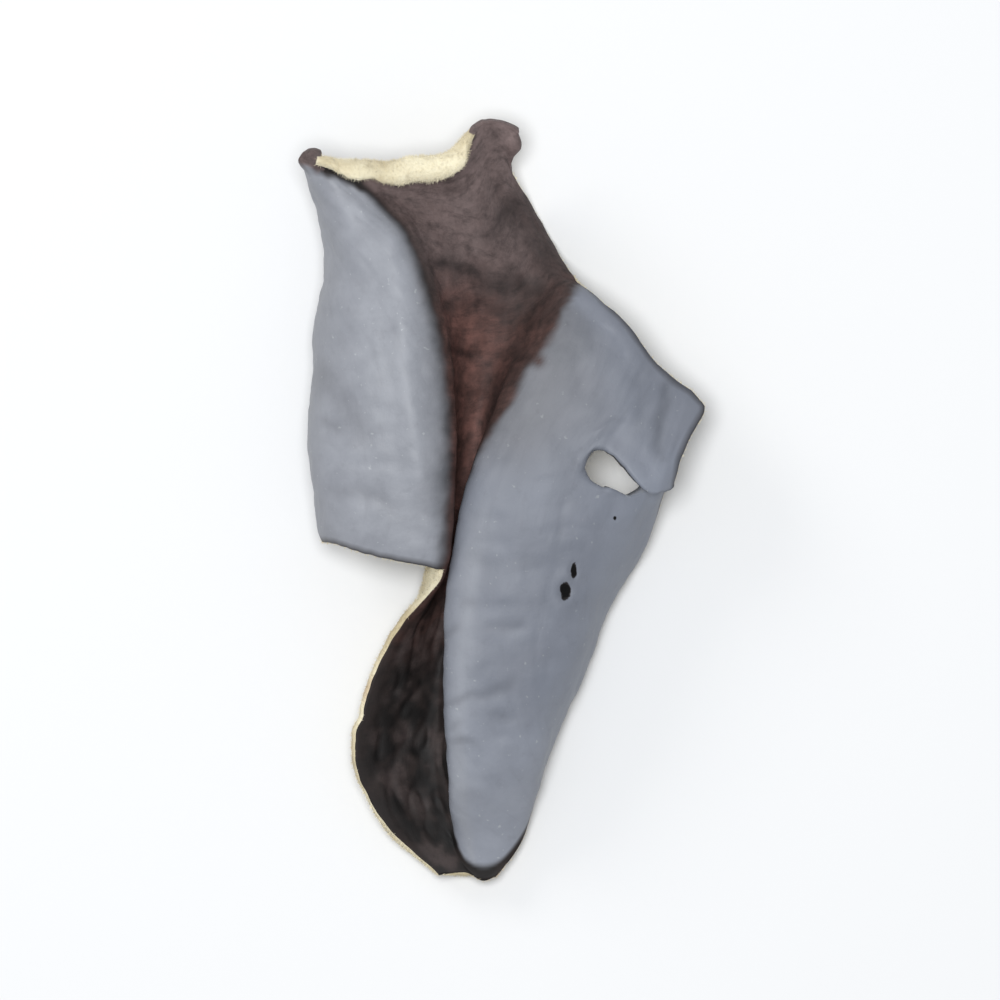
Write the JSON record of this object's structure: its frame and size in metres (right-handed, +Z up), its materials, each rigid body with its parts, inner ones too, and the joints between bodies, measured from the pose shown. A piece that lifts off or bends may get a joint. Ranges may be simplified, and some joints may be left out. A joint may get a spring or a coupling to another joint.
{
  "type": "wood ear mushroom",
  "caption": "Dried wood ear mushroom, a leathery sheet with raised flaps beside a dark hollow, a rolled upper margin, a torn wing and a pale felted back.",
  "frame": {"origin": "on the ground, under the middle of the bounding box", "axes": "+Z up, +Y from the attached base to the rolled upper margin, +X to the torn wing"},
  "size_m": [0.0476, 0.0896, 0.0174],
  "materials": {
    "wood_ear": "satin dark face, matt cream felt on the back"
  },
  "bodies": {
    "root": {"wood_ear": "wood_ear"}
  },
  "joints": []
}
